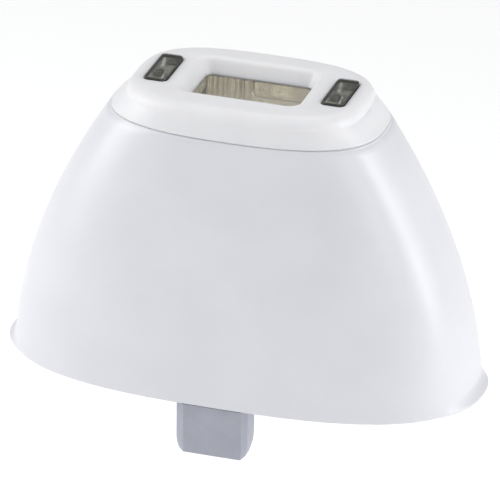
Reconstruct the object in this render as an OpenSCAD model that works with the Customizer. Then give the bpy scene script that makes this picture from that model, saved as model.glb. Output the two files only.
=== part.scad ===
// Detachable lamp cartridge of a flash hair remover: a flared oval shell with a
// skin window on top, two sprung contact pads beside it and a keyed plug below.
// Origin: centre of the base plate's underside. +X to the right, +Z to the skin.

/* [Shell] */
// Half width of the shell at its base
base_half_w = 41; // [39:0.5:43]
// Half depth of the shell at its base
base_half_d = 20.1; // [19.6:0.1:21]
// Half width of the shell at the cap seam
seam_half_w = 24; // [23.6:0.1:25]
// Half depth of the shell at the cap seam
seam_half_d = 14.3; // [14:0.1:15]
// Height of the seam between shell and cap
seam_z = 47.2; // [46.8:0.1:48]
// Wall thickness of the shell
wall = 1.8; // [1.5:0.1:2]
// Corner fullness of the oval sections, 2 being an ellipse
oval_power = 2.65; // [2.4:0.05:3]
// How far the finger lips stand out at the two ends
lip_reach = 1.5; // [0.5:0.1:2]
// Height of the finger lips
lip_h = 2.4; // [1.5:0.1:3]

/* [Cap] */
// Half width of the cap just below its rounded shoulder
cap_half_w = 20.8; // [20.6:0.1:21.5]
// Half depth of the cap just below its rounded shoulder
cap_half_d = 13.4; // [13.2:0.1:14]
// Height of the flat skin face
top_z = 52.4; // [52.2:0.1:53]
// Radius of the cap's rounded shoulder
shoulder_r = 2.1; // [1.6:0.1:2.4]
// Thickness of the cap's flat top
top_t = 2; // [1.8:0.1:2.2]
// Width of the skin window
window_w = 20.8; // [19:0.2:21]
// Depth of the skin window
window_d = 14.2; // [13:0.2:15]
// How far the glass lies below the skin face
window_drop = 2.8; // [2.6:0.1:3]

/* [Contact pads] */
// Distance of each pad's centre from the middle
pad_x = 15.7; // [15.5:0.1:16]
// Width of a pad
pad_w = 3.9; // [3.4:0.1:4]
// Depth of a pad
pad_d = 11.2; // [9:0.2:11.4]
// How far a released pad stands out of the skin face
pad_proud = 0.5; // [0.4:0.1:0.6]

/* [Lamp] */
// Height of the lamp's axis
lamp_z = 38.5; // [38:0.1:39]
// Radius of the quartz tube
tube_r = 2; // [1.9:0.05:2.05]
// Length of the quartz tube
tube_len = 40; // [39:0.5:41]

/* [Plug] */
// Width of the plug
plug_w = 12.6; // [12:0.1:13]
// Thickness of the plug
plug_t = 5.4; // [5:0.1:5.6]
// Length of the plug below the base
plug_len = 9.4; // [8:0.1:10]
// Distance of the plug's front face from the middle
plug_front = 19.5; // [19.3:0.1:19.8]
// Offset of the plug to the left, so that the head fits only one way round
plug_key = 0.45; // [0:0.05:0.8]

/* [Power sockets] */
// Distance of each power socket from the middle
socket_x = 16; // [15:0.5:17]
// Bore radius of a power socket
socket_bore_r = 1.02; // [1:0.01:1.1]
// Bore length of a power socket
socket_len = 7.5; // [6:0.5:8]

/* [Hidden] */
$fn = 48;
steps = 72;              // points round each oval section
seam_gap = 0.12;         // half of the fine groove between shell and cap
base_w_slope = 0.14;     // share of the width's taper that is straight
base_d_slope = 0.6;      // share of the depth's taper that is straight
fit = 0.15;              // clearance between parts that slide into each other
touch = 0.05;            // clearance between parts that nearly touch
lip_half = 11;           // half length of a finger lip
plate_t = 2.4;           // base plate thickness
rim_h = 5;               // top of the base plate's upstanding rim
screw_x = 29;
screw_y = 9.5;
boss_top = 19;
carrier_z = 42;          // underside of the lamp carrier
carrier_t = 2;
cap_boss = [9.5, 9.9];   // carrier screws, from the middle
glass_t = 1.5;
gasket_t = 0.25;
glass_z = top_z - window_drop - glass_t;          // underside of the glass
glass_half = [window_w / 2 + 0.7, window_d / 2 + 0.5];
window_low = [window_w / 2 - 0.6, window_d / 2 - 0.7];
frame_half = [glass_half[0] + 1.5, glass_half[1] + 1.5];
reflector_z = 35;        // lowest point of the reflector's inside
reflector_t = 0.5;
reflector_half = [window_low[0] + 0.4, window_low[1] + 0.1];
pad_low = top_z - 3.5;   // underside of a released pad
pad_flange = [pad_w + 1.3, pad_d + 1.2];
pocket = [pad_flange[0] + 0.4, pad_flange[1] + 0.4];
pocket_wall = 1;
board_z = top_z - 6.3;   // top of a sensor board
plug_gap = 0.25;
plug_back = plug_front - plug_t;
strip_pitch = 1.6;
strip_in = 0.35;
lead_hole = [18.4, -5.6];   // where a sensor lead passes the carrier

// Oval sections of the shell: half width and half depth at height z
function taper(z, slope) = let (t = z / seam_z) slope * t + (1 - slope) * t * t;
function body_w(z) = base_half_w - (base_half_w - seam_half_w) * taper(z, base_w_slope);
function body_d(z) = base_half_d - (base_half_d - seam_half_d) * taper(z, base_d_slope);
function rise(z) = (z - seam_z) / (top_z - shoulder_r - seam_z);
function cap_w(z) = seam_half_w + (cap_half_w - seam_half_w) * rise(z);
function cap_d(z) = seam_half_d + (cap_half_d - seam_half_d) * rise(z);
function cap_power(z) = oval_power + (3 - oval_power) * rise(z);
function spow(v, p) = sign(v) * pow(abs(v), p);
function oval(w, d, p = oval_power) =
  [for (i = [0:steps - 1]) let (a = 360 * i / steps)
    [w * spow(cos(a), 2 / p), d * spow(sin(a), 2 / p)]];

// The finger lip widens the ends of the lowest sections
function flare(z) = z > lip_h ? 0 : z < 0.5 ? 1 : pow((lip_h - z) / (lip_h - 0.5), 2);
function lip(z, y) = lip_reach * flare(z) * max(0, 1 - pow(y / lip_half, 2));
function shell_ring(z) =
  [for (q = oval(body_w(z), body_d(z))) [q[0] + sign(q[0]) * lip(z, q[1]), q[1], z]];
function inner_ring(z) =
  [for (q = oval(body_w(z) - wall, body_d(z) - wall)) [q[0], q[1], z]];
function cap_ring(z) = [for (q = oval(cap_w(z), cap_d(z), cap_power(z))) [q[0], q[1], z]];
function shoulder_ring(a) =
  let (zt = top_z - shoulder_r, k = shoulder_r * (1 - cos(a)))
  [for (q = oval(cap_half_w - k, cap_half_d - k, 3)) [q[0], q[1], zt + shoulder_r * sin(a)]];

function flat(lists) = [for (l = lists) each l];
function band(j, k) = [for (i = [0:steps - 1]) let (n = (i + 1) % steps)
  [j * steps + i, k * steps + i, k * steps + n, j * steps + n]];

// A solid through a stack of rings; closed = true joins the last ring to the first
module loft(rings, closed = false) {
  count = len(rings);
  walls = flat([for (j = [0:count - (closed ? 1 : 2)]) band(j, (j + 1) % count)]);
  ends = closed ? [] : [[for (i = [0:steps - 1]) i],
    [for (i = [steps - 1:-1:0]) (count - 1) * steps + i]];
  polyhedron(flat(rings), concat(walls, ends), convexity = 6);
}

// A rectangle with rounded corners, as an outline
function round_rect(w, d, r) = [for (c = [0:3], i = [0:6])
  let (a = 90 * c + 15 * i, sx = (c == 0 || c == 3) ? 1 : -1, sy = c < 2 ? 1 : -1)
  [sx * (w / 2 - r) + r * cos(a), sy * (d / 2 - r) + r * sin(a)]];

module plate(w, d, r, z0, z1) {
  translate([0, 0, z0])
    linear_extrude(z1 - z0)
      polygon(round_rect(w, d, r));
}

module oval_plate(w, d, z0, z1) {
  translate([0, 0, z0])
    linear_extrude(z1 - z0)
      polygon(oval(w, d));
}

module post(x, y, r, z0, z1) {
  translate([x, y, z0])
    cylinder(h = z1 - z0, r = r);
}

module corners(x, y) {
  for (sx = [-1, 1], sy = [-1, 1])
    translate([sx * x, sy * y, 0])
      children();
}

// A tube swept along a route of points, keeping its section square to the route
function unit(v) = v / norm(v);
function heading(p, i) = unit(p[min(i + 1, len(p) - 1)] - p[max(i - 1, 0)]);
function side(h) = unit(cross(h, abs(h[1]) > 0.9 ? [1, 0, 0] : [0, 1, 0]));
module tube(route, r, sides = 8) {
  count = len(route);
  points = [for (i = [0:count - 1])
    let (h = heading(route, i), u = side(h), v = cross(h, u))
    for (k = [0:sides - 1]) let (a = 360 * k / sides) route[i] + r * (cos(a) * u + sin(a) * v)];
  walls = [for (i = [0:count - 2], k = [0:sides - 1]) let (n = (k + 1) % sides)
    [i * sides + k, i * sides + n, (i + 1) * sides + n, (i + 1) * sides + k]];
  ends = [[for (k = [sides - 1:-1:0]) k], [for (k = [0:sides - 1]) (count - 1) * sides + k]];
  polyhedron(points, concat(walls, ends), convexity = 4);
}

// Points along a smooth curve through a few route points
function bend(a, b, c, d, t) = 0.5 * (2 * b + (c - a) * t + (2 * a - 5 * b + 4 * c - d) * t * t
  + (3 * b - a - 3 * c + d) * t * t * t);
function smooth(p, n = 4) = let (m = len(p) - 1)
  [for (i = [0:m - 1], k = [0:n - 1])
    bend(p[max(i - 1, 0)], p[i], p[i + 1], p[min(i + 2, m)], k / n), p[m]];

module housing_shell() {
  outer = [for (z = [0, 0.5, 0.9, 1.4, 1.9, 2.4, 7, 12, 17, 22, 27, 32, 37, 42]) shell_ring(z)];
  inner = [for (z = [40, 33, 26, 19, 12, 6, 0]) inner_ring(z)];
  rim = seam_z - seam_gap;
  color("gainsboro") {
    loft(concat(outer, [shell_ring(rim), inner_ring(rim)], inner), closed = true);
    corners(screw_x, screw_y)
      difference() {
        post(0, 0, 2.75, plate_t + 1.65, boss_top);
        post(0, 0, 1.1, plate_t + 1, 15);
      }
  }
}

module window_funnel() {
  drop = window_drop + 0.1;
  hull() {
    plate(window_w, window_d, 2, top_z - 0.4, top_z - 0.3);
    plate(window_low[0] * 2, window_low[1] * 2, 1.4, top_z - drop, top_z - drop + 0.1);
  }
  hull() {
    plate(window_w, window_d, 2, top_z - 0.4, top_z - 0.3);
    plate(window_w + 0.8, window_d + 0.8, 2.4, top_z, top_z + 0.1);
  }
}

module top_cap() {
  low = seam_z + seam_gap;
  outer = [for (z = [low, top_z - shoulder_r]) cap_ring(z)];
  crown = [for (a = [15:15:90]) shoulder_ring(a)];
  skirt = [seam_half_w - wall - fit - 0.25, seam_half_d - wall - fit - 0.2];
  color("white")
    difference() {
      union() {
        difference() {
          union() {
            loft(concat(outer, crown));
            oval_plate(skirt[0], skirt[1], 44.6, low + 0.5);
          }
          oval_plate(skirt[0] - 1.4, skirt[1] - 1.4, 44, top_z - top_t);
        }
        plate(frame_half[0] * 2, frame_half[1] * 2, 2, glass_z - 0.3, top_z - top_t + 0.1);
        for (s = [-1, 1])
          translate([s * pad_x, 0, 0])
            plate(pocket[0] + 2 * pocket_wall, pocket[1] + 2 * pocket_wall, 1.2,
              board_z, top_z - top_t + 0.1);
        corners(cap_boss[0], cap_boss[1])
          post(0, 0, 1.9, carrier_z + carrier_t, top_z - top_t + 0.1);
      }
      window_funnel();
      plate(glass_half[0] * 2 + 0.2, glass_half[1] * 2 + 0.2, 1.2, 40, glass_z + glass_t + gasket_t);
      for (s = [-1, 1])
        translate([s * pad_x, 0, 0]) {
          plate(pad_w + 2 * fit, pad_d + 2 * fit, 1, board_z - 1, top_z + 1);
          plate(pocket[0], pocket[1], 1.1, board_z - 1, top_z - top_t);
          plate(pocket[0] + 2 * pocket_wall + 0.4, pocket[1] + 2 * pocket_wall + 0.4, 1.3, 40, board_z);
        }
      corners(cap_boss[0], cap_boss[1])
        post(0, 0, 0.8, 40, 49);
    }
}

module filter_glass() {
  color("lightyellow", 0.4)
    plate(glass_half[0] * 2, glass_half[1] * 2, 1.1, glass_z, glass_z + glass_t);
}

module glass_gasket() {
  z = glass_z + glass_t;
  color("dimgray")
    difference() {
      plate(glass_half[0] * 2, glass_half[1] * 2, 1.1, z, z + gasket_t);
      plate(window_low[0] * 2, window_low[1] * 2, 1.4, z - 1, z + 1);
    }
}

// Half depth of the parabolic reflector at height z, grown outward by t
function bowl(z, t) = (reflector_half[1] + t)
  * sqrt(max(0, (z - reflector_z + t) / (glass_z - 0.6 - reflector_z + t)));

module reflector() {
  top = glass_z - 0.6;
  half_len = reflector_half[0] + 0.3;
  heights = [for (i = [0:10]) i * i / 100];
  function flank(t) = [for (k = heights)
    let (z = reflector_z - t + k * (top - reflector_z + t)) [bowl(z, t), z]];
  inside = flank(0);
  outside = flank(reflector_t);
  outline = concat([for (q = inside) q], [for (i = [len(outside) - 1:-1:0]) outside[i]]);
  mirrored = [for (i = [len(outline) - 1:-1:0]) [-outline[i][0], outline[i][1]]];
  color("tan") {
    translate([-half_len, 0, 0])
      rotate([90, 0, 90])
        linear_extrude(2 * half_len) {
          polygon(outline);
          polygon(mirrored);
        }
    difference() {
      plate(glass_half[0] * 2 - 0.2, glass_half[1] * 2 - 0.2, 1.1, top, glass_z);
      plate(reflector_half[0] * 2, reflector_half[1] * 2, 0.8, top - 1, glass_z + 1);
    }
  }
}

module reflector_ends() {
  color("tan")
    for (s = [-1, 1])
      difference() {
        translate([s * (reflector_half[0] + 0.65) - 0.3, -7.6, reflector_z - 1.2])
          cube([0.6, 15.2, glass_z - 0.6 - touch - reflector_z + 1.2]);
        translate([0, 0, lamp_z])
          rotate([0, 90, 0])
            cylinder(h = 60, r = 2.7, center = true);
      }
}

module flash_tube() {
  color("white", 0.5)
    translate([0, 0, lamp_z])
      rotate([0, 90, 0])
        difference() {
          cylinder(h = tube_len, r = tube_r, center = true);
          cylinder(h = tube_len + 1, r = 1.4, center = true);
        }
}

module lamp_electrodes() {
  color("silver")
    for (s = [0, 1])
      mirror([s, 0, 0])
        translate([0, 0, lamp_z])
          rotate([0, 90, 0]) {
            translate([0, 0, tube_len / 2 - 8])
              cylinder(h = 5.1, r = 0.6);
            translate([0, 0, tube_len / 2 - 3])
              cylinder(h = 3, r = 1.38);
            translate([0, 0, tube_len / 2])
              cylinder(h = 1.2, r = tube_r);
            translate([0, 0, tube_len / 2 + 1])
              cylinder(h = 1.4, r = 0.5);
          }
}

module lamp_holder(s) {
  color("lightgray")
    difference() {
      translate([s * 14.5 - 2, -4.2, lamp_z - 4])
        cube([4, 8.4, carrier_z - lamp_z + 4]);
      translate([s * 14.5, 0, lamp_z])
        rotate([0, 90, 0])
          cylinder(h = 6, r = tube_r + 0.03, center = true);
    }
}

module lamp_holder_left() { lamp_holder(-1); }
module lamp_holder_right() { lamp_holder(1); }

module trigger_wire() {
  wire = 0.15;
  ring_r = tube_r + 0.02 + wire;
  color("goldenrod")
    translate([0, 0, lamp_z])
      rotate([0, 90, 0]) {
        for (x = [-8:4:8])
          translate([0, 0, x])
            rotate_extrude()
              translate([ring_r, 0])
                circle(r = wire, $fn = 16);
        translate([ring_r + wire, 0, -9])
          cylinder(h = 20.4, r = wire, $fn = 16);
      }
}

module lamp_carrier() {
  color("darkgray")
    difference() {
      union() {
        oval_plate(23, 12.2, carrier_z, carrier_z + carrier_t);
        for (s = [-1, 1], y = [-1, 1])
          translate([s * 14.5 - 2.5, y * 5.2 - 0.9, lamp_z - 3])
            cube([5, 1.8, carrier_z - lamp_z + 3.1]);
      }
      plate(23.2, 15.8, 1, carrier_z - 1, carrier_z + 3);
      corners(cap_boss[0], cap_boss[1])
        post(0, 0, 1.1, carrier_z - 1, carrier_z + 3);
      for (s = [-1, 1])
        post(s * lead_hole[0], lead_hole[1], 1.1, carrier_z - 1, carrier_z + 3);
    }
}

module carrier_screws() {
  color("silver")
    corners(cap_boss[0], cap_boss[1])
      difference() {
        union() {
          post(0, 0, 1.7, carrier_z - 1.2, carrier_z);
          post(0, 0, 0.78, carrier_z - 0.1, 48);
        }
        for (a = [0, 90])
          rotate(a)
            translate([-1.1, -0.2, carrier_z - 1.3])
              cube([2.2, 0.4, 0.7]);
      }
}

module sensor_pad(s) {
  color("dimgray")
    translate([s * pad_x, 0, 0]) {
      plate(pad_w, pad_d, 0.8, pad_low, top_z + pad_proud);
      plate(pad_flange[0], pad_flange[1], 1, pad_low, top_z - top_t - touch);
    }
}

module sensor_pad_left() { sensor_pad(-1); }
module sensor_pad_right() { sensor_pad(1); }

module pad_springs(s) {
  coil_r = 1;
  wire = 0.2;
  low = board_z + wire;
  high = pad_low - wire;
  turns = 4;
  count = turns * 10;
  route = [for (i = [0:count]) let (a = 36 * i, t = i / count)
    [coil_r * cos(a), coil_r * sin(a), low + (high - low) * t]];
  color("silver")
    for (y = [-1, 1])
      translate([s * pad_x, y * 4.4, 0])
        tube(route, wire, 6);
}

module pad_springs_left() { pad_springs(-1); }
module pad_springs_right() { pad_springs(1); }

module sensor_board(s) {
  color("darkgreen")
    translate([s * pad_x, 0, 0])
      plate(pocket[0] + 2 * pocket_wall, pocket[1] + 2 * pocket_wall, 1.1, board_z - 1, board_z);
}

module sensor_board_left() { sensor_board(-1); }
module sensor_board_right() { sensor_board(1); }

module skin_sensor(s) {
  color("black")
    translate([s * pad_x, 0, board_z]) {
      translate([-1.4, -2.6, 0])
        cube([2.8, 5.2, 1.2]);
      for (y = [-1.3, 1.3])
        translate([0, y, 1.1])
          cylinder(h = 0.6, r = 0.8);
    }
}

module skin_sensor_left() { skin_sensor(-1); }
module skin_sensor_right() { skin_sensor(1); }

module base_plate() {
  edge = [base_half_w - wall - 0.35, base_half_d - wall - 0.4];
  color("gainsboro")
    difference() {
      union() {
        oval_plate(edge[0], edge[1], 0, plate_t);
        difference() {
          oval_plate(edge[0] - 0.45, edge[1] - 0.45, plate_t - 0.1, rim_h);
          oval_plate(edge[0] - 1.85, edge[1] - 1.85, plate_t - 1, rim_h + 1);
          translate([-9, -30, plate_t])
            cube([18, 18, rim_h]);
        }
        corners(screw_x, screw_y)
          post(0, 0, 3.6, plate_t - 0.1, plate_t + 1.6);
        for (s = [-1, 1])
          post(s * socket_x, 0, 4.4, plate_t - 0.1, 6);
      }
      corners(screw_x, screw_y) {
        post(0, 0, 1.35, -1, 6);
        post(0, 0, 2.6, -1, 1.9);
        post(0, 0, 3.1, plate_t + 1.6, 6);
      }
      for (s = [-1, 1])
        post(s * socket_x, 0, 3.2, -1, 8);
      for (s = [-1, 1], i = [1:3])
        translate([s * i * 3, 0, 0])
          plate(1.8, 12, 0.85, -1, 5);
      translate([-plug_w / 2 - plug_key - fit, -30, -1])
        cube([plug_w + 2 * fit, 30 - plug_back + fit, 5]);
    }
}

module base_screws() {
  color("silver")
    corners(screw_x, screw_y)
      difference() {
        union() {
          post(0, 0, 2.4, 0.5, 1.9);
          post(0, 0, 1.08, 1.8, 13);
        }
        for (a = [0, 90])
          rotate(a)
            translate([-1.5, -0.3, 0])
              cube([3, 0.6, 1.3]);
      }
}

module vent_mesh() {
  color("gray")
    translate([0, 0, plate_t])
      linear_extrude(0.4)
        difference() {
          square([22, 15], center = true);
          for (i = [-5:5], j = [-3:3])
            translate([i * 1.9, j * 1.9])
              square(1.3, center = true);
        }
}

module air_duct() {
  low = plate_t + 0.4;
  color("lightgray")
    difference() {
      hull() {
        plate(23, 16, 1.5, low, low + 1);
        plate(20, 13, 1.5, 30, 31);
      }
      hull() {
        plate(21.4, 14.4, 1, low - 0.1, low + 1);
        plate(18.4, 11.4, 1, 30, 31.1);
      }
    }
}

module plug_slab(inset, z) {
  translate([0, inset / 2, 0])
    plate(plug_w - 2 * inset, plug_t - 1.5 * inset, 1.1, z, z + 0.05);
}

module connector_plug() {
  middle = plug_front - plug_t / 2;
  color("lightslategray")
    translate([-plug_key, 0, 0])
      difference() {
        union() {
          translate([0, -middle, 0])
            hull() {
              plug_slab(0, -plug_gap - 0.05);
              plug_slab(0, 3.3 - plug_len);
              plug_slab(0.4, 0.8 - plug_len);
              plug_slab(0.9, -plug_len);
            }
          translate([-plug_w / 2, plug_back * -1 - 3.6, -1])
            cube([plug_w, 3.6, plate_t + 1.1]);
          translate([-8, -plug_back - 2.2, plate_t + touch])
            cube([16, 3.2, 2]);
        }
        for (i = [-2.5:1:2.5])
          translate([i * strip_pitch - 0.5, -plug_back - strip_in + 0.15, 1.2 - plug_len])
            cube([1, 4, 20]);
      }
}

module contact_strips() {
  color("gold")
    for (i = [-2.5:1:2.5])
      translate([i * strip_pitch - 0.45 - plug_key, -plug_back - strip_in + 0.15, 1.2 - plug_len])
        cube([0.9, strip_in, plug_len - 1.2 + 6.5]);
}

module id_board() {
  color("darkgreen")
    translate([-7.5 - plug_key, -plug_back + 0.15, plate_t + 2.1])
      cube([15, 1.2, 10.5]);
}

module id_chip() {
  color("black")
    translate([-3 - plug_key, -plug_back + 1.35, plate_t + 6])
      cube([5, 1.2, 5]);
}

module power_socket(s) {
  color("goldenrod")
    translate([s * socket_x, 0, 0])
      difference() {
        union() {
          post(0, 0, 1.9, 0.3, 9.5);
          post(0, 0, 0.7, 9.4, 11.5);
        }
        post(0, 0, socket_bore_r, -1, 0.3 + socket_len);
      }
}

module power_socket_left() { power_socket(-1); }
module power_socket_right() { power_socket(1); }

module socket_insulator(s) {
  color("ivory")
    translate([s * socket_x, 0, 0])
      difference() {
        union() {
          post(0, 0, 3.15, 0.1, 8.5);
          post(0, 0, 4.2, 6, 7.2);
        }
        post(0, 0, 1.92, -1, 10);
      }
}

module socket_insulator_left() { socket_insulator(-1); }
module socket_insulator_right() { socket_insulator(1); }

module hv_lead(s) {
  route = [[22.6, 0, lamp_z], [23.5, 0, lamp_z - 0.1], [24.7, 0, lamp_z - 2], [25, 0, 32],
    [24, 0, 26], [20, 0, 19], [16.6, 0, 15], [socket_x, 0, 13], [socket_x, 0, 11.6]];
  color(s < 0 ? "royalblue" : "firebrick")
    scale([s, 1, 1])
      tube(smooth(route, 3), 1.05);
}

module hv_lead_left() { hv_lead(-1); }
module hv_lead_right() { hv_lead(1); }

module trigger_lead() {
  route = [[11.8, 0, lamp_z - 2.6], [11.8, 0, 33.5], [12.6, -2, 29], [13.2, -6, 22],
    [11, -10.2, 14], [6.8, -11, 8.6], [4.5, -11.2, 7.2], [4.3, -11.7, 7], [4.3, -12.3, 7]];
  color("orange")
    tube(smooth(route, 3), 0.4);
}

module sensor_lead(s) {
  route = [[lead_hole[0], lead_hole[1], board_z - 1.05], [lead_hole[0], lead_hole[1], 43.6],
    [18.8, -6.4, 40], [20.2, -8, 32], [19, -10.4, 22], [13, -12.4, 15.5],
    [8.5, -11.2, 13], [6.6, -11.2, 12.2], [6.2, -11.7, 12], [6.2, -12.3, 12]];
  color("dimgray")
    scale([s, 1, 1])
      tube(smooth(route, 3), 0.4);
}

module sensor_lead_left() { sensor_lead(-1); }
module sensor_lead_right() { sensor_lead(1); }

housing_shell();
top_cap();
filter_glass();
glass_gasket();
reflector();
reflector_ends();
flash_tube();
lamp_electrodes();
lamp_holder_left();
lamp_holder_right();
trigger_wire();
lamp_carrier();
carrier_screws();
sensor_pad_left();
sensor_pad_right();
pad_springs_left();
pad_springs_right();
sensor_board_left();
sensor_board_right();
skin_sensor_left();
skin_sensor_right();
base_plate();
base_screws();
vent_mesh();
air_duct();
connector_plug();
contact_strips();
id_board();
id_chip();
power_socket_left();
power_socket_right();
socket_insulator_left();
socket_insulator_right();
hv_lead_left();
hv_lead_right();
trigger_lead();
sensor_lead_left();
sensor_lead_right();
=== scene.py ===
"""Looks of a flash hair remover's lamp cartridge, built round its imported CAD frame.

Shapes are worked out in millimetres and become meshes in metres, in the frame's own axes:
+X to the right, -Y to the front, +Z up to the skin window, origin under the base plate.
"""
import math

import bmesh
import bpy
import numpy as np
from mathutils import Matrix, Vector
from mathutils.geometry import tessellate_polygon


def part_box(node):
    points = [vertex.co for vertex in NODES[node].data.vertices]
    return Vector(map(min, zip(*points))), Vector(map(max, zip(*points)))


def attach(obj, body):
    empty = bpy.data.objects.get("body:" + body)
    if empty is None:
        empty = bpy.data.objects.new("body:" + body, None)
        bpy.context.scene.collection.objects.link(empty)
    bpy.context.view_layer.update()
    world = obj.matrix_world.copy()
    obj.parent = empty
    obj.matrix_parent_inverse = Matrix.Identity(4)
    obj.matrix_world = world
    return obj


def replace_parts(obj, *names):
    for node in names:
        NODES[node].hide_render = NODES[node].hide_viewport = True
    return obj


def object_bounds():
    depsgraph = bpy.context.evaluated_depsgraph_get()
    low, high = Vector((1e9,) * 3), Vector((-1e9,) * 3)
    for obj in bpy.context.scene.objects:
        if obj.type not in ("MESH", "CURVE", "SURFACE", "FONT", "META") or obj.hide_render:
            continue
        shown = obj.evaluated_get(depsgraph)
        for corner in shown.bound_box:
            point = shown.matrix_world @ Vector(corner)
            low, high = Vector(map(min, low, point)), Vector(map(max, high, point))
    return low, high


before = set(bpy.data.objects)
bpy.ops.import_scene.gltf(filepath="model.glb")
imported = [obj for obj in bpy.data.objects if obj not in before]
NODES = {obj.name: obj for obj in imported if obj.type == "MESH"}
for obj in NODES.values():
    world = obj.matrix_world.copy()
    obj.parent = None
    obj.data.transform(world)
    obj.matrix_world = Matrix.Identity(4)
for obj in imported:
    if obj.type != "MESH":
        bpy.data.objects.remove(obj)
cad_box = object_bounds()

MM = 0.001


def box(node):
    """Lowest and highest corner of a CAD node, in millimetres."""
    low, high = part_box(node)
    return np.array(low) / MM, np.array(high) / MM


# ---------------------------------------------------------------- driving sizes, millimetres
SHELL_HIGH = box("housing_shell")[1]
CAP_LOW, CAP_HIGH = box("top_cap")
GLASS_LOW, GLASS_HIGH = box("filter_glass")
REFLECTOR_HIGH = box("reflector")[1]
PAD_LOW, PAD_HIGH = box("sensor_pad_right")
PLUG_LOW, PLUG_HIGH = box("connector_plug")
STRIPS_LOW, STRIPS_HIGH = box("contact_strips")

# shell; widths and depths of ovals are halves
FINGER_REACH = 1.5      # how far the finger lips stand out at the two ends
FINGER_HEIGHT = 2.4     # where they start to flare out
FINGER_FLAT = 0.5       # and where they have their full reach
FINGER_HALF = 11.0      # half their length from front to back
BASE_W, BASE_D = SHELL_HIGH[0] - FINGER_REACH, SHELL_HIGH[1]
SEAM_GAP = 0.12         # half the CAD's gap between shell and cap
SEAM_Z = SHELL_HIGH[2] + SEAM_GAP
SEAM_W, SEAM_D = 24.0, 14.3
W_SLOPE, D_SLOPE = 0.14, 0.6    # the straight part of the shell's flare; the rest is curved
OVAL_POWER = 2.65
WALL = 1.8
SHELL_EDGE, INNER_EDGE = 0.42, 0.25

# cap
TOP_Z = CAP_HIGH[2]
TOP_T = 2.0
CROWN_W, CROWN_D, CROWN_POWER = 20.8, 13.4, 3.0
SHOULDER_R = 2.1
CAP_FOOT = SEAM_Z + 0.04
CAP_EDGE = 0.3
GROOVE = 0.34           # depth of the seam
SKIRT_W, SKIRT_D = SEAM_W - WALL - 0.4, SEAM_D - WALL - 0.35
SKIRT_T = 1.4

# window; its sizes are full ones
WINDOW_W, WINDOW_D = 20.8, 14.2
WINDOW_X, WINDOW_Y = -0.3, 0.4      # the middle of the opening
MOUTH_W, MOUTH_D = WINDOW_W - 0.4, WINDOW_D - 0.5       # where the rounded edge would turn upright
WELL_W, WELL_D = WINDOW_W - 1.8, WINDOW_D - 2.2         # the foot of its leaning wall
LIP_X, LIP_Y, LIP_DROP = 1.6, 1.15, 1.55                # the rounded edge round the opening
LIP_TURN = 61                                           # how far it turns before the wall, degrees
GASKET_T = 0.25

# smoky pads
PAD_W = 3.9
PAD_SHORT = 0.9         # how far their front edges are drawn back from the CAD's
PAD_D = 11.2 - PAD_SHORT
PAD_X, PAD_Y = (PAD_LOW[0] + PAD_HIGH[0]) / 2, PAD_SHORT / 2
PAD_SLOT = 0.15         # the gap round a pad

# plug
PLUG_X = (PLUG_LOW[0] + PLUG_HIGH[0]) / 2
PLUG_W = 12.6
LEFT_BEVEL, RIGHT_BEVEL = 1.5, 0.75     # the bevels' widths, seen from the front
LEFT_DRAW, RIGHT_DRAW = 0.62, 0.4       # how far the two ends draw in at the tip
REAR_DRAW = 2.3
SIDE_TAPER, REAR_TAPER = 2.6, 3.3       # heights over which they draw in
PLUG_TIP_R = 0.3
NECK_FRONT = -17.7
PLATE_T = 2.4
STRIP_PITCH, STRIP_W, STRIP_T = 1.6, 0.9, 0.15


# ---------------------------------------------------------------- outlines and meshes
def oval(half_w, half_d, power=OVAL_POWER, count=288):
    """Points round an oval section, evenly spaced along it."""
    a = np.linspace(0, 2 * math.pi, 4001)
    c, s = np.cos(a), np.sin(a)
    x = half_w * np.sign(c) * np.abs(c) ** (2 / power)
    y = half_d * np.sign(s) * np.abs(s) ** (2 / power)
    run = np.concatenate([[0], np.cumsum(np.hypot(np.diff(x), np.diff(y)))])
    at = np.linspace(0, run[-1], count, endpoint=False)
    return np.column_stack([np.interp(at, run, x), np.interp(at, run, y)])


def round_rect(width, depth, radius, per_corner=10, per_side=6):
    """Points round a rectangle with rounded corners."""
    points = []
    for corner, (sx, sy) in enumerate([(1, 1), (-1, 1), (-1, -1), (1, -1)]):
        centre = np.array([sx * (width / 2 - radius), sy * (depth / 2 - radius)])
        for i in range(per_corner + 1):
            a = math.radians(90 * (corner + i / per_corner))
            points.append(centre + radius * np.array([math.cos(a), math.sin(a)]))
        nx, ny = [(-1, 1), (-1, -1), (1, -1), (1, 1)][corner]
        after = np.array([nx * (width / 2 - radius), ny * (depth / 2 - radius)])
        b = math.radians(90 * (corner + 1))
        start, end = points[-1], after + radius * np.array([math.cos(b), math.sin(b)])
        points += [start + (end - start) * k / per_side for k in range(1, per_side)]
    return np.array(points)


def at_height(outline, z, x=0.0, y=0.0):
    """A flat outline, moved to its place at height z."""
    return np.column_stack([outline[:, 0] + x, outline[:, 1] + y, np.full(len(outline), z)])


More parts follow.
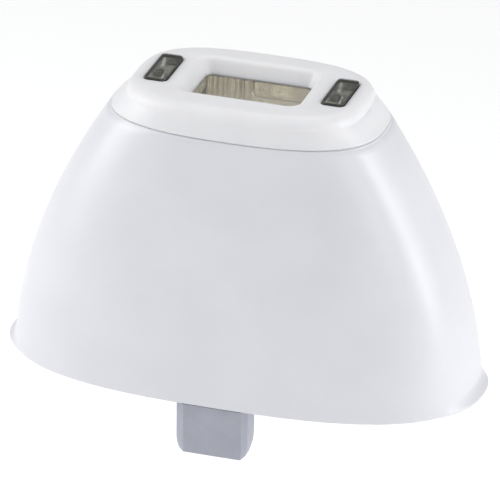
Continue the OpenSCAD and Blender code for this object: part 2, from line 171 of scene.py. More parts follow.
class Skin:
    """Gathers one piece's points and faces."""

    def __init__(self):
        self.points, self.faces = [], []

    def loop(self, ring):
        """Adds a ring of points and returns their numbers."""
        start = len(self.points)
        self.points += [tuple(p) for p in ring]
        return list(range(start, start + len(ring)))

    def bridge(self, a, b):
        """A wall of four-sided faces between two loops of equal length."""
        n = len(a)
        self.faces += [(a[i], a[(i + 1) % n], b[(i + 1) % n], b[i]) for i in range(n)]

    def loft(self, rings, closed=False):
        """Joins a stack of rings by walls; closed joins the last to the first."""
        loops = [self.loop(r) for r in rings]
        for a, b in zip(loops, loops[1:] + loops[:1] if closed else loops[1:]):
            self.bridge(a, b)
        return loops

    def solid(self, rings):
        """A stack of rings, closed by a flat face at each end."""
        loops = self.loft(rings)
        self.fill(loops[0])
        self.fill(loops[-1])

    def fill(self, *loops):
        """A flat face inside the first loop, with the others as holes."""
        flat = [i for loop in loops for i in loop]
        outlines = [[Vector(self.points[i]) for i in loop] for loop in loops]
        self.faces += [tuple(flat[i] for i in t) for t in tessellate_polygon(outlines)]

    def piece(self, name, body, material, slot, sharp=40):
        """The finished object, riding on its CAD body."""
        mesh = bpy.data.meshes.new(name)
        mesh.from_pydata([tuple(np.array(p) * MM) for p in self.points], [], self.faces)
        outward(mesh)
        mesh.shade_smooth()
        mesh.set_sharp_from_angle(angle=math.radians(sharp))
        mesh.materials.append(material)
        obj = bpy.data.objects.new(name, mesh)
        bpy.context.scene.collection.objects.link(obj)
        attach(obj, body)
        return obj


def outward(mesh):
    """Makes every face of a closed mesh look outward."""
    work = bmesh.new()
    work.from_mesh(mesh)
    bmesh.ops.remove_doubles(work, verts=work.verts, dist=1e-8)
    bmesh.ops.recalc_face_normals(work, faces=work.faces)
    work.to_mesh(mesh)
    work.free()


def fillet(steps=6):
    """(inward, along) pairs of a quarter round, from 0 to 1."""
    return [(1 - math.cos(math.radians(a)), math.sin(math.radians(a)))
            for a in np.linspace(0, 90, steps + 1)]


# ---------------------------------------------------------------- materials
NOISE_LOW, NOISE_HIGH = 0.35, 0.65      # most of the noise lies between these


def shader(name):
    """A new material with its node tree and its principled shader."""
    material = bpy.data.materials.new(name)
    material.use_nodes = True
    tree = material.node_tree
    return material, tree, tree.nodes["Principled BSDF"]


def noise(tree, size, detail=3.0, stretch=(1, 1, 1)):
    """Noise whose features are about size millimetres across."""
    coords = tree.nodes.new("ShaderNodeTexCoord")
    mapping = tree.nodes.new("ShaderNodeMapping")
    mapping.inputs["Scale"].default_value = stretch
    texture = tree.nodes.new("ShaderNodeTexNoise")
    texture.inputs["Scale"].default_value = 1 / (size * MM)
    texture.inputs["Detail"].default_value = detail
    tree.links.new(coords.outputs["Object"], mapping.inputs["Vector"])
    tree.links.new(mapping.outputs["Vector"], texture.inputs["Vector"])
    return texture.outputs["Fac"]


def spread(tree, value, low, high):
    """Maps noise onto a range of numbers."""
    ramp = tree.nodes.new("ShaderNodeMapRange")
    ramp.inputs["From Min"].default_value = NOISE_LOW
    ramp.inputs["From Max"].default_value = NOISE_HIGH
    ramp.inputs["To Min"].default_value = low
    ramp.inputs["To Max"].default_value = high
    tree.links.new(value, ramp.inputs["Value"])
    return ramp.outputs["Result"]


def tint(tree, value, colours):
    """Maps noise onto the range between two colours."""
    ramp = tree.nodes.new("ShaderNodeValToRGB")
    for stop, place, colour in zip(ramp.color_ramp.elements, (NOISE_LOW, NOISE_HIGH), colours):
        stop.position = place
        stop.color = (*colour, 1)
    tree.links.new(value, ramp.inputs["Fac"])
    return ramp.outputs["Color"]


def bump(tree, bsdf, value, height):
    """Raises the surface by up to height millimetres where the value is high."""
    node = tree.nodes.new("ShaderNodeBump")
    node.inputs["Strength"].default_value = 0.5
    node.inputs["Distance"].default_value = height * MM
    tree.links.new(value, node.inputs["Height"])
    tree.links.new(node.outputs["Normal"], bsdf.inputs["Normal"])


def moulded(name, low, high, rough, patch=6.0, grain=0.25, depth=0.01, coat=0.0, subsurface=0.0):
    """Moulded plastic or rubber: soft mottling, fine grain and uneven gloss."""
    material, tree, bsdf = shader(name)
    tree.links.new(tint(tree, noise(tree, patch), (low, high)), bsdf.inputs["Base Color"])
    gloss = spread(tree, noise(tree, patch * 0.4, 4), *rough)
    tree.links.new(gloss, bsdf.inputs["Roughness"])
    bump(tree, bsdf, noise(tree, grain, 2), depth)
    if coat:
        bsdf.inputs["Coat Weight"].default_value = coat
        bsdf.inputs["Coat Roughness"].default_value = 0.22
    if subsurface:
        bsdf.inputs["Subsurface Weight"].default_value = subsurface
        bsdf.inputs["Subsurface Radius"].default_value = (1.0, 0.9, 0.8)
        bsdf.inputs["Subsurface Scale"].default_value = 2.0 * MM
    return material


def drawn_metal(name, low, high, rough, stretch, size=0.5, depth=0.004, metallic=1.0):
    """Metal with fine streaks along one axis."""
    material, tree, bsdf = shader(name)
    streaks = noise(tree, size, 4, stretch)
    tree.links.new(tint(tree, streaks, (low, high)), bsdf.inputs["Base Color"])
    tree.links.new(spread(tree, streaks, *rough), bsdf.inputs["Roughness"])
    bsdf.inputs["Metallic"].default_value = metallic
    bump(tree, bsdf, streaks, depth)
    return material


def clear(name, colour, alpha, rough=(0.03, 0.08), patch=5.0):
    """Clear or smoky glass and plastic, seen through by its alpha."""
    material, tree, bsdf = shader(name)
    bsdf.inputs["Base Color"].default_value = (*colour, 1)
    bsdf.inputs["Alpha"].default_value = alpha
    tree.links.new(spread(tree, noise(tree, patch), *rough), bsdf.inputs["Roughness"])
    bsdf.inputs["IOR"].default_value = 1.5
    return material


PEARL = moulded("pearl_white_satin", (0.69, 0.695, 0.73), (0.72, 0.725, 0.76), (0.30, 0.36),
                patch=14, grain=0.3, depth=0.004, coat=0.25)
WHITE = moulded("cap_white_satin", (0.77, 0.77, 0.785), (0.80, 0.80, 0.812), (0.36, 0.44),
                patch=9, depth=0.004, subsurface=0.5)
PLUG = moulded("plug_grey_satin", (0.345, 0.355, 0.415), (0.38, 0.39, 0.45), (0.32, 0.4),
               patch=4, grain=0.2, depth=0.008)
BASE = moulded("base_grain", (0.60, 0.60, 0.63), (0.66, 0.66, 0.69), (0.5, 0.62),
               patch=8, grain=0.35, depth=0.03)
DARK = moulded("carrier_black", (0.05, 0.05, 0.055), (0.09, 0.09, 0.095), (0.45, 0.6))
GREY = moulded("duct_grey", (0.30, 0.31, 0.33), (0.36, 0.37, 0.39), (0.45, 0.6))
RUBBER = moulded("gasket_rubber", (0.36, 0.36, 0.365), (0.44, 0.44, 0.445), (0.6, 0.8))
CERAMIC = moulded("holder_silicone", (0.70, 0.70, 0.68), (0.78, 0.78, 0.76), (0.5, 0.65))
IVORY = moulded("insulator_ivory", (0.70, 0.66, 0.56), (0.78, 0.74, 0.64), (0.4, 0.55))
BOARD = moulded("board_green", (0.01, 0.09, 0.045), (0.02, 0.14, 0.07), (0.25, 0.4), patch=1.2)
EPOXY = moulded("package_black", (0.012, 0.012, 0.014), (0.03, 0.03, 0.034), (0.3, 0.45))
WIRES = {
    "hv_lead_left": moulded("sleeve_blue", (0.02, 0.06, 0.30), (0.04, 0.09, 0.38), (0.4, 0.55)),
    "hv_lead_right": moulded("sleeve_red", (0.36, 0.02, 0.015), (0.45, 0.04, 0.03), (0.4, 0.55)),
    "trigger_lead": moulded("sleeve_orange", (0.62, 0.19, 0.02), (0.72, 0.25, 0.04), (0.4, 0.55)),
}
for side in ("left", "right"):
    WIRES[f"sensor_lead_{side}"] = moulded(f"sleeve_grey_{side}", (0.14, 0.14, 0.15),
                                           (0.2, 0.2, 0.21), (0.4, 0.55))
MIRROR = drawn_metal("reflector_champagne", (0.90, 0.86, 0.76), (0.94, 0.91, 0.81), (0.09, 0.14),
                     (1, 1, 0.2), size=1.2, depth=0.002, metallic=0.8)
STEEL = drawn_metal("screw_steel", (0.50, 0.50, 0.51), (0.66, 0.66, 0.67), (0.25, 0.4), (1, 1, 1))
NICKEL = drawn_metal("nickel", (0.55, 0.53, 0.49), (0.68, 0.66, 0.61), (0.2, 0.35), (0.2, 1, 1))
BRASS = drawn_metal("gold_flash", (0.72, 0.50, 0.20), (0.86, 0.64, 0.30), (0.2, 0.35), (1, 1, 0.2))
FILTER = clear("filter_glass_clear", (0.88, 0.86, 0.76), 0.12)
QUARTZ = clear("quartz_clear", (0.92, 0.94, 0.97), 0.22)
SMOKE = clear("smoky_lens", (0.10, 0.10, 0.087), 0.38, (0.08, 0.16), 2.0)
SMOKE_BODY = moulded("smoky_body", (0.035, 0.035, 0.03), (0.075, 0.075, 0.065), (0.15, 0.28),
                     patch=1.5)
GUIDE = moulded("guide_milky", (0.20, 0.20, 0.18), (0.50, 0.49, 0.44), (0.2, 0.35), patch=1.7)
# painted highlight: the ridges' near-white colour stands in for the highlight streaks and edge glints
# seen in the smoky pads
GUIDE_HIGHLIGHT = moulded("guide_painted_highlight", (0.42, 0.42, 0.38), (0.86, 0.86, 0.80), (0.2, 0.35), patch=1.0)
SENSOR = moulded("sensor_window", (0.06, 0.06, 0.052), (0.16, 0.15, 0.135), (0.2, 0.35), patch=0.9)


# ---------------------------------------------------------------- housing shell
def body_half(z):
    """Half width and half depth of the shell at height z."""
    t = z / SEAM_Z
    w = BASE_W - (BASE_W - SEAM_W) * (W_SLOPE * t + (1 - W_SLOPE) * t * t)
    d = BASE_D - (BASE_D - SEAM_D) * (D_SLOPE * t + (1 - D_SLOPE) * t * t)
    return w, d


def body_ring(z, inset=0.0, lips=True):
    """A section of the shell at height z, with the finger lips at its two ends."""
    w, d = body_half(z)
    ring = oval(w - inset, d - inset)
    if lips and z < FINGER_HEIGHT:
        rise = min(1.0, (FINGER_HEIGHT - z) / (FINGER_HEIGHT - FINGER_FLAT)) ** 2
        out = FINGER_REACH * rise * np.maximum(0, 1 - (ring[:, 1] / FINGER_HALF) ** 2)
        ring[:, 0] += np.sign(ring[:, 0]) * out
    return at_height(ring, z)


def make_shell():
    """The shell as one closed wall, with a rounded foot and a rounded edge at the seam."""
    top, inner_foot = SHELL_HIGH[2], 0.6
    rings = [body_ring(SHELL_EDGE * (1 - along), SHELL_EDGE * inward)
             for inward, along in fillet()][::-1]
    rings += [body_ring(z) for z in np.linspace(FINGER_FLAT, FINGER_HEIGHT, 10)]
    rings += [body_ring(z) for z in np.linspace(FINGER_HEIGHT + 0.8, top - SHELL_EDGE, 44)]
    for inward, along in fillet()[1:]:
        halves = [half - SHELL_EDGE * inward for half in body_half(top)]
        rings.append(at_height(oval(*halves), top - SHELL_EDGE * (1 - along)))
    rings += [body_ring(z, WALL, lips=False) for z in np.linspace(top, inner_foot, 24)]
    rings.append(body_ring(0, WALL - INNER_EDGE, lips=False))
    skin = Skin()
    skin.loft(rings, closed=True)
    shell = skin.piece("housing_shell_skin", "cartridge", PEARL, "pearl_shell")
    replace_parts(shell, "housing_shell")


# ---------------------------------------------------------------- cap with window and pad slots
def cap_ring(z, inset=0.0):
    """A section of the cap's side at height z, between the seam and the crown."""
    rise = (z - SEAM_Z) / (TOP_Z - SHOULDER_R - SEAM_Z)
    w = SEAM_W + (CROWN_W - SEAM_W) * rise
    d = SEAM_D + (CROWN_D - SEAM_D) * rise
    power = OVAL_POWER + (CROWN_POWER - OVAL_POWER) * rise
    return at_height(oval(w - inset, d - inset, power), z)


def cap_outside(under):
    """The cap's rings: up inside the skirt, out over the seam and over the shoulder."""
    skirt_foot, land = CAP_LOW[2] + 0.6, SHELL_HIGH[2] + 0.02
    rings = [at_height(oval(SKIRT_W - SKIRT_T, SKIRT_D - SKIRT_T), z) for z in (under, skirt_foot)]
    rings += [at_height(oval(SKIRT_W, SKIRT_D), z) for z in (skirt_foot, land)]
    rings += [cap_ring(z, GROOVE) for z in (land, CAP_FOOT)]
    rings += [cap_ring(CAP_FOOT + CAP_EDGE * (1 - along), CAP_EDGE * inward)
              for inward, along in fillet()][::-1]
    rings += [cap_ring(z) for z in np.linspace(CAP_FOOT + CAP_EDGE + 0.1, TOP_Z - SHOULDER_R, 12)]
    for inward, along in fillet(16)[1:]:
        k = SHOULDER_R * inward
        rings.append(at_height(oval(CROWN_W - k, CROWN_D - k, CROWN_POWER),
                               TOP_Z - SHOULDER_R * (1 - along)))
    return rings


def window_recess(under):
    """The window's rings: rounded edge, leaning wall, then the seat for the glass and its flange."""
    lip_corner, well_corner = 1.9, 1.4
    rings = []
    for a in [0.0, *np.linspace(18, LIP_TURN, 12)]:
        out = 1 - math.sin(math.radians(a))
        rings.append((MOUTH_W + 2 * LIP_X * out, MOUTH_D + 2 * LIP_Y * out, lip_corner + 1.5 * out,
                      TOP_Z - LIP_DROP * (1 - math.cos(math.radians(a)))))
    mouth = np.array(rings[-1])
    well = np.array((WELL_W, WELL_D, well_corner, GLASS_HIGH[2] + GASKET_T))
    rings += [mouth + (well - mouth) * t for t in np.linspace(0.1, 1, 8)]
    opening = [at_height(round_rect(w, d, r), z, WINDOW_X, WINDOW_Y) for w, d, r, z in rings]

    seat_w, seat_d = 2 * GLASS_HIGH[0] + 0.2, 2 * GLASS_HIGH[1] + 0.2
    seat_z, flange_room = GLASS_LOW[2] - 0.3, 2.8
    seat = [(seat_w, seat_d, 1.2, well[3]), (seat_w, seat_d, 1.2, seat_z)]
    seat += [(seat_w + flange_room, seat_d + flange_room, 2.0, z) for z in (seat_z, under)]
    return opening + [at_height(round_rect(w, d, r), z) for w, d, r, z in seat]


def pad_pocket(side, under):
    """The rings of one pad's pocket, from its soft upper edge down."""
    w, d, corner, soft = PAD_W + 2 * PAD_SLOT, PAD_D + 2 * PAD_SLOT, 1.0, 0.18
    x = side * PAD_X
    rings = [at_height(round_rect(w + 2 * soft * inward, d + 2 * soft * inward, corner + soft * inward),
                       TOP_Z - soft * (1 - along), x, PAD_Y) for inward, along in fillet(4)][::-1]
    return rings + [at_height(round_rect(w, d, corner), under, x, PAD_Y)]


def make_cap():
    """The cap as one closed skin, with the window and the two pad pockets through it."""
    under = TOP_Z - TOP_T
    skin = Skin()
    outer = skin.loft(cap_outside(under))
    window = skin.loft(window_recess(under))
    pockets = [skin.loft(pad_pocket(side, under)) for side in (-1, 1)]
    skin.fill(outer[-1], window[0], *[p[0] for p in pockets])
    skin.fill(outer[0], window[-1], *[p[-1] for p in pockets])
    cap = skin.piece("top_cap_skin", "cartridge", WHITE, "white_cap")
    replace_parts(cap, "top_cap")


# ---------------------------------------------------------------- reflector and glass
FLUTES = (1.5, 0.9, 1.3, 0.7, 1.7, 1.1, 0.6, 1.4)    # relative widths of the flutes, left to right
FLUTE_DEPTH = 0.85
SPLIT_X = -1.6              # the plain panel starts here
FLUTES_END = SPLIT_X - 0.35
PANEL_RISE, PANEL_CORNER = 0.28, 0.9
PANEL_SOFT = 0.3            # width of the panel's sloping edge
PANEL_LOW, PANEL_PAST = 2.75, 3.0    # its lower edge below the rim, its upper one out of sight above
GROOVE_DEPTH, GROOVE_HALF = 0.45, 0.13
TROUGH_BOTTOM = 35.0
TROUGH_W, TROUGH_D = WINDOW_W - 0.7, WINDOW_D - 1.2
SHEET = 0.35
RIM_Z, FLANGE_Z = GLASS_HIGH[2] - 0.05, GLASS_LOW[2] - 0.6


def flute(x, left, right):
    """Height of the pressed flutes at x, from 0 to 1: low and high ribs with sharp valleys."""
    at = (x - left) / (right - left) * sum(FLUTES)
    for i, width in enumerate(FLUTES):
        if at <= width:
            height = 1.0 if i % 2 else 0.5
            return math.sin(math.pi * at / width) ** 0.8 * height
        at -= width
    return 0.0


def panel_edge(x, z, left, right, low, high, corner):
    """Distance inward from the outline of the plain panel; negative outside it."""
    dx = max(left + corner - x, x - right + corner)
    dz = max(low + corner - z, z - high + corner)
    return corner - (math.hypot(max(dx, 0), max(dz, 0)) + min(0.0, max(dx, dz)))


def press(x, z):
    """How far the reflector's sheet stands in towards the lamp at one place."""
    if x < FLUTES_END:
        return FLUTE_DEPTH * flute(x, -TROUGH_W / 2, FLUTES_END)
    inside = panel_edge(x, z, SPLIT_X, TROUGH_W / 2 + 2, RIM_Z - PANEL_LOW, RIM_Z + PANEL_PAST,
                        PANEL_CORNER)
    groove = math.exp(-(inside / GROOVE_HALF) ** 2)
    rise = min(1.0, max(0.0, inside / PANEL_SOFT))
    return PANEL_RISE * rise * rise * (3 - 2 * rise) - GROOVE_DEPTH * groove


def trough_section(x):
    """The sheet's closed section at x: a parabola inside, and the same moved out behind it."""
    levels = np.concatenate([TROUGH_BOTTOM + (RIM_Z - 4 - TROUGH_BOTTOM) * np.linspace(0, 1, 20) ** 2,
                             np.linspace(RIM_Z - 3.9, RIM_Z, 40)])
    inside, outside = [], []
    for side in (-1, 1):
        for z in (levels[::-1] if side < 0 else levels[1:]):
            k = min(1.0, (z - TROUGH_BOTTOM) / (FLANGE_Z - TROUGH_BOTTOM))
            y = TROUGH_D / 2 * math.sqrt(k) - press(x, z) * min(1.0, k / 0.25)
            inside.append((x, side * max(y, 0), z))
        for z in (levels[::-6] if side < 0 else levels[5::6]):
            k = min(1.0, (z - TROUGH_BOTTOM) / (FLANGE_Z - TROUGH_BOTTOM))
            y = TROUGH_D / 2 * math.sqrt(k) + SHEET
            outside.append((x, side * y, z - SHEET * (1 - k)))
    return inside + outside[::-1]


def make_reflector():
    """A polished trough; its left half is fluted and its right half has a plain pressed panel."""
    skin = Skin()
    loops = [skin.loop(trough_section(x)) for x in np.linspace(-TROUGH_W / 2, TROUGH_W / 2, 200)]
    for a, b in zip(loops, loops[1:]):
        skin.bridge(a, b)
    skin.fill(loops[0])
    skin.fill(loops[-1])

    flange_w, flange_d = REFLECTOR_HIGH[0] * 2, REFLECTOR_HIGH[1] * 2
    rim_out, rim_in = (TROUGH_W + 0.5, TROUGH_D + 0.9, 0.6), (TROUGH_W - 0.1, TROUGH_D + 0.7, 0.5)
    rings = [(flange_w, flange_d, 1.1, FLANGE_Z), (flange_w, flange_d, 1.1, GLASS_LOW[2]),
             (*rim_out, GLASS_LOW[2]), (*rim_out, RIM_Z), (*rim_in, RIM_Z), (*rim_in, FLANGE_Z)]
    skin.loft([at_height(round_rect(w, d, r), z) for w, d, r, z in rings], closed=True)
    trough = skin.piece("reflector_trough", "cartridge", MIRROR, "reflector_metal", sharp=50)
    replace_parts(trough, "reflector")


def make_glass():
    """The filter pane, which lies inside the reflector's turned-up rim."""
    pane, soft = Skin(), 0.12
    pillow(pane, TROUGH_W - 0.3, TROUGH_D - 1.0, 0.5, GLASS_LOW[2], GLASS_HIGH[2] - 0.12, soft)
    glass = pane.piece("filter_glass_pane", "cartridge", FILTER, "filter_glass")
    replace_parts(glass, "filter_glass")


# ---------------------------------------------------------------- smoky contact pads
def pillow(skin, width, depth, corner, low, high, soft, x=0.0, y=0.0):
    """A block with rounded corners and a soft top edge."""
    rings = [at_height(round_rect(width, depth, corner), low, x, y)]
    for inward, along in fillet():
        k = soft * inward
        rings.append(at_height(round_rect(width - 2 * k, depth - 2 * k, max(0.05, corner - k)),
                               high - soft * (1 - along), x, y))
    skin.solid(rings)


def bar(skin, start, end, width, low, high):
    """A ridge with a soft top between two places on the pad."""
    start, end = np.array(start), np.array(end)
    along = (end - start) / np.linalg.norm(end - start)
    across = np.array([-along[1], along[0]])
    rings = []
    for k, z in ((1.0, low), (1.0, (low + high) / 2), (0.7, high - 0.05), (0.3, high)):
        ring = []
        for centre, turn in ((end, -90), (start, 90)):
            for a in np.radians(np.linspace(turn, turn + 180, 8)):
                p = centre + (along * math.cos(a) + across * math.sin(a)) * k * width / 2
                ring.append((p[0], p[1], z))
        rings.append(ring)
    skin.solid(rings)


# Ridges on a pad's light guide, coloured bright as painted highlight streaks and edge glints, from the
# pad's middle line: start, end, width, height
PAD_HIGHLIGHT_RIDGES = (
    ((-1.1, 4.45), (-0.5, 1.0), 0.7, 0.4),
    ((0.75, -1.0), (1.05, -3.75), 0.5, 0.4),
    ((1.5, 1.6), (1.5, -0.9), 0.16, 0.3),
    ((-1.4, -1.8), (-1.4, -4.1), 0.16, 0.25),
)
# Sensor windows: place, width, depth, corner, height, softness
PAD_SENSORS = (
    ((0.62, 3.75), 1.9, 2.3, 0.5, 0.25, 0.25),
    ((-0.3, -1.3), 1.5, 2.9, 0.7, 0.3, 0.28),
)
GUIDE_DEPTH = 0.75      # how far the light guide lies below the lens's top
SINK = 0.05             # what stands on it starts this far inside it


def make_pad(side, name):
    """A smoky lens over a dark frame, a light guide with ridges painted bright as highlight streaks,
    and two sensor windows.
    """
    x, top, low = side * PAD_X, PAD_HIGH[2], PAD_LOW[2]
    body = f"pad_{name}"
    lens = Skin()
    pillow(lens, PAD_W, PAD_D, 0.8, low + 0.6, top, 0.22, x, PAD_Y)
    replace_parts(lens.piece(f"pad_lens_{name}", body, SMOKE, "smoky_pad"), f"sensor_pad_{name}")

    outer_w, outer_d = PAD_W - 0.06, PAD_D - 0.06
    inner_w, inner_d = PAD_W - 0.32, PAD_D - 0.32
    foot, frame_top = low + 0.7, top - 0.2
    rings = [(outer_w, outer_d, 0.75, foot), (outer_w, outer_d, 0.75, frame_top - 0.1),
             (outer_w - 0.2, outer_d - 0.2, 0.68, frame_top),
             (inner_w, inner_d, 0.45, frame_top), (inner_w, inner_d, 0.45, foot)]
    rim = Skin()
    rim.loft([at_height(round_rect(w, d, r), z, x, PAD_Y) for w, d, r, z in rings], closed=True)
    rim.piece(f"pad_frame_{name}", body, SMOKE_BODY, "smoky_pad")

    guide_top = top - GUIDE_DEPTH
    core = Skin()
    pillow(core, inner_w - 0.04, inner_d - 0.04, 0.42, foot + 0.1, guide_top, 0.06, x, PAD_Y)
    core.piece(f"pad_light_guide_{name}", body, GUIDE, "smoky_pad")

    # the ridges stand for the guide's own shapes, and their bright colour is painted highlight
    highlight_ridges = Skin()
    for (x0, y0), (x1, y1), width, height in PAD_HIGHLIGHT_RIDGES:
        bar(highlight_ridges, (x + x0, y0), (x + x1, y1), width, guide_top - SINK, guide_top + height)
    highlight_ridges.piece(f"pad_highlight_bars_{name}", body, GUIDE_HIGHLIGHT, "smoky_pad")

    sensors = Skin()
    for (sx, sy), width, depth, corner, height, soft in PAD_SENSORS:
        pillow(sensors, width, depth, corner, guide_top - SINK, guide_top + height, soft, x + sx, sy)
    sensors.piece(f"pad_sensors_{name}", body, SENSOR, "sensor_package")


# ---------------------------------------------------------------- plug tongue
def side_draw(height):
    """How much of their full draw the tongue's ends have at a height above its tip."""
    return max(0.0, 1 - height / SIDE_TAPER) ** 2.2


def rear_draw(height):
    """How far the tongue's back draws in at a height above its tip."""
    return REAR_DRAW * max(0.0, 1 - height / REAR_TAPER) ** 1.6


def bevelled(width, depth, left_cut, right_cut):
    """Section of the tongue: a flat front between two unlike bevels, with softened corners."""
    w, d, soft, left_side, right_side = width / 2, depth / 2, 0.2, 1.0, 1.5
    corners = np.array([(-w + left_cut, -d), (w - right_cut, -d), (w, -d + right_side), (w, d),
                        (-w, d), (-w, -d + left_side)])
    ring = []
    for i, corner in enumerate(corners):
        before, after = corners[i - 1] - corner, corners[(i + 1) % len(corners)] - corner
        a = corner + before / np.linalg.norm(before) * soft
        b = corner + after / np.linalg.norm(after) * soft
        ring.append(corner + (a - corner) * 1.3)
        for t in np.linspace(0, 1, 5):
            ring.append((1 - t) ** 2 * a + 2 * t * (1 - t) * corner + t * t * b)
        ring.append(corner + (b - corner) * 1.3)
    return np.array(ring)


def make_plug():
    """The keyed tongue: two unlike bevels, ends that draw in and a rounded back of the tip."""
    front, back = PLUG_LOW[1], STRIPS_HIGH[1] - STRIP_T
    low, top = PLUG_LOW[2], -0.25
    rings = [(z, 0.0) for z in np.linspace(top, low + REAR_TAPER, 6)]
    rings += [(low + h, 0.0) for h in np.linspace(REAR_TAPER - 0.3, PLUG_TIP_R, 14)]
    rings += [(low + PLUG_TIP_R * (1 - along), PLUG_TIP_R * inward) for inward, along in fillet(5)[1:]]
    stack = []
    for z, inset in rings:
        left, right = LEFT_DRAW * side_draw(z - low), RIGHT_DRAW * side_draw(z - low)
        wide = PLUG_W - left - right - 2 * inset
        depth = back - front - rear_draw(z - low) - inset
        section = bevelled(wide, depth, LEFT_BEVEL - left - inset / 2, RIGHT_BEVEL - right - inset / 2)
        stack.append(at_height(section, z, PLUG_X + (left - right) / 2,
                               front + inset * 0.3 + depth / 2))
    skin = Skin()
    skin.solid(stack)
    pillow(skin, PLUG_W, back - NECK_FRONT, 0.5, top - 0.3, PLATE_T + 0.02, 0.1, PLUG_X,
           (back + NECK_FRONT) / 2)
    flange_w, flange_front, flange_back = 16, back - 2.2, PLUG_HIGH[1]
    pillow(skin, flange_w, flange_back - flange_front, 0.6, PLATE_T + 0.05, PLUG_HIGH[2], 0.2,
           PLUG_X, (flange_front + flange_back) / 2)
    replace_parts(skin.piece("plug_tongue", "cartridge", PLUG, "plug_plastic"), "connector_plug")


def strip_section(x, back, z):
    """Section of one contact strip at height z, narrower and thinner at its lower end."""
    low = STRIPS_LOW[2]
    rear = back - rear_draw(z - PLUG_LOW[2])
    short = 1 - min(1.0, (z - low) / 0.5)
    half = STRIP_W / 2 * math.sqrt(max(0.1, 1 - short ** 2))
    out, soft_x, soft_y = STRIP_T - 0.12 * short, 0.06, 0.05
    return [(x - half, rear - 0.2, z), (x + half, rear - 0.2, z), (x + half, rear + out - soft_y, z),
            (x + half - soft_x, rear + out, z), (x - half + soft_x, rear + out, z),
            (x - half, rear + out - soft_y, z)]


def make_strips():
    """Six gilded contact strips down the back of the tongue."""
    back, count = STRIPS_HIGH[1] - STRIP_T, 6
    strips = Skin()
    for i in range(count):
        x = PLUG_X + (i - (count - 1) / 2) * STRIP_PITCH
        heights = np.linspace(STRIPS_LOW[2] + 0.1, STRIPS_HIGH[2], 26)
        strips.solid([strip_section(x, back, z) for z in heights])
    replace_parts(strips.piece("plug_strips", "cartridge", BRASS, "contact_brass"), "contact_strips")


# ---------------------------------------------------------------- CAD nodes that stay
def dress(node, material, soften=0.0):
    """Gives a CAD node its material, and a small bevel on its sharp edges."""
    obj = NODES[node]
    obj.data.materials.clear()
    obj.data.materials.append(material)
    if soften:
        weld = obj.modifiers.new("weld", "WELD")
        weld.merge_threshold = 1e-7
        bevel = obj.modifiers.new("soft_edges", "BEVEL")
        bevel.width = soften * MM
        bevel.segments = 2
        bevel.limit_method = "ANGLE"
        bevel.angle_limit = math.radians(40)
        bevel.harden_normals = True
    obj.data.shade_smooth()
    obj.data.set_sharp_from_angle(angle=math.radians(35))


def dress_nodes():
    """Every CAD node that no visual piece replaces."""
    dress("glass_gasket", RUBBER)
    dress("reflector_ends", MIRROR)
    dress("flash_tube", QUARTZ)
    dress("lamp_electrodes", NICKEL, 0.08)
    dress("trigger_wire", NICKEL)
    dress("lamp_carrier", DARK, 0.15)
    dress("carrier_screws", STEEL, 0.06)
    dress("base_plate", BASE, 0.12)
    dress("base_screws", STEEL, 0.1)
    dress("vent_mesh", STEEL)
    dress("air_duct", GREY)
    dress("id_board", BOARD, 0.05)
    dress("id_chip", EPOXY, 0.08)
    for side in ("left", "right"):
        dress(f"lamp_holder_{side}", CERAMIC, 0.2)
        dress(f"pad_springs_{side}", STEEL)
        dress(f"sensor_board_{side}", BOARD, 0.05)
        dress(f"skin_sensor_{side}", EPOXY, 0.08)
        dress(f"power_socket_{side}", BRASS, 0.06)
        dress(f"socket_insulator_{side}", IVORY, 0.1)
    for node, material in WIRES.items():
        dress(node, material)


# ---------------------------------------------------------------- floor, light and camera
TARGET = Vector((0, 0, 25 * MM))    # lights and camera look at this place, in metres
FLOOR_DROP = 50.0       # the cartridge hangs this far above the floor, mm
FLOOR_HALF = 3.0        # metres
# Name, azimuth and elevation in degrees, distance and size in metres, power in watts
SOFTBOXES = (
    ("left_softbox", -70, 25, 0.7, (0.4, 0.6), 3.15),
    ("front_fill", 50, 25, 0.7, (0.25, 0.6), 0.6),
    ("right_softbox", 85, 20, 0.7, (0.25, 0.6), 1.45),
    ("right_rim", 95, 15, 0.7, (0.4, 0.6), 1.1),
    ("back_softbox", 180, 60, 0.8, (0.7, 0.7), 1.0),
    ("top_softbox", 0, 88, 0.7, (0.7, 0.7), 0.8),
)
VIEW_AZIMUTH, VIEW_ELEVATION, VIEW_ROLL = 17.553, 25.697, -0.740
VIEW_DISTANCE = 1.08875
VIEW_LENS = 458.7
AIM_RIGHT, AIM_DOWN = 0.14, 3.79    # how far the picture's middle lies from the target, mm


def toward(azimuth, elevation):
    """Unit vector from the target; azimuth 0 is the front and 90 the right."""
    az, el = math.radians(azimuth), math.radians(elevation)
    return Vector((math.sin(az) * math.cos(el), -math.cos(az) * math.cos(el), math.sin(el)))


def softbox(name, azimuth, elevation, reach, size, power):
    """A rectangular light that faces the target."""
    data = bpy.data.lights.new(name, "AREA")
    data.shape = "RECTANGLE"
    data.size, data.size_y = size
    data.energy = power
    lamp = bpy.data.objects.new(name, data)
    bpy.context.scene.collection.objects.link(lamp)
    back = toward(azimuth, elevation)
    lamp.location = TARGET + back * reach
    lamp.rotation_mode = "QUATERNION"
    lamp.rotation_quaternion = back.to_track_quat("Z", "Y")


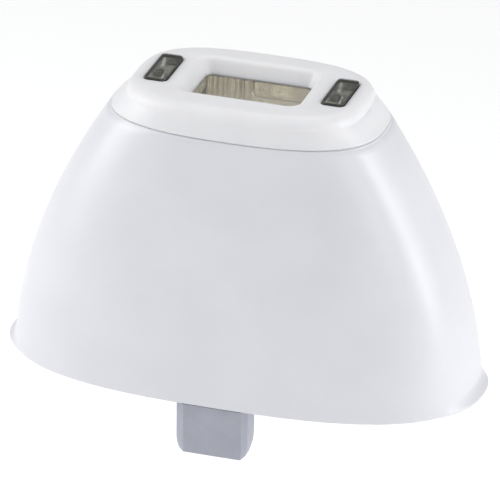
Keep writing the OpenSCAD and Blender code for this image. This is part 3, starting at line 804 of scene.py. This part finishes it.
def make_stage():
    """A plain white floor, an even pale sky and the softboxes."""
    low = cad_box[0][2] - FLOOR_DROP * MM
    corners = [(x * FLOOR_HALF, y * FLOOR_HALF, low) for x, y in ((-1, -1), (1, -1), (1, 1), (-1, 1))]
    mesh = bpy.data.meshes.new("floor")
    mesh.from_pydata(corners, [], [(0, 1, 2, 3)])
    floor = bpy.data.objects.new("floor", mesh)
    bpy.context.scene.collection.objects.link(floor)
    material, _, bsdf = shader("floor_white")
    bsdf.inputs["Base Color"].default_value = (1, 1, 1, 1)
    bsdf.inputs["Roughness"].default_value = 0.9
    bsdf.inputs["Emission Color"].default_value = (1, 1, 1, 1)
    bsdf.inputs["Emission Strength"].default_value = 0.1
    mesh.materials.append(material)

    world = bpy.data.worlds.new("studio")
    world.use_nodes = True
    background = world.node_tree.nodes["Background"]
    background.inputs["Color"].default_value = (0.97, 0.98, 1.0, 1)
    background.inputs["Strength"].default_value = 0.35
    bpy.context.scene.world = world
    bpy.context.scene.view_settings.view_transform = "Standard"
    for light in SOFTBOXES:
        softbox(*light)


def make_camera():
    """The camera at the photograph's angle, rolled and shifted a little to frame the part."""
    roll = math.radians(VIEW_ROLL)
    back = toward(VIEW_AZIMUTH, VIEW_ELEVATION)
    right = Vector((0, 0, 1)).cross(back).normalized()
    up = back.cross(right)
    cam_x = math.cos(roll) * right - math.sin(roll) * up
    cam_y = math.sin(roll) * right + math.cos(roll) * up
    place = TARGET + back * VIEW_DISTANCE
    aim = TARGET + (cam_x * AIM_RIGHT - cam_y * AIM_DOWN) * MM
    z = (place - aim).normalized()
    x = cam_y.cross(z).normalized()
    y = z.cross(x)
    data = bpy.data.cameras.new("camera")
    data.sensor_width = 36
    data.lens = VIEW_LENS
    data.clip_start, data.clip_end = 0.05, 20
    camera = bpy.data.objects.new("camera", data)
    bpy.context.scene.collection.objects.link(camera)
    camera.matrix_world = Matrix.Translation(place) @ Matrix((x, y, z)).transposed().to_4x4()
    bpy.context.scene.camera = camera


make_camera()
make_stage()
make_shell()
make_cap()
make_reflector()
make_glass()
make_pad(-1, "left")
make_pad(1, "right")
make_plug()
make_strips()
dress_nodes()
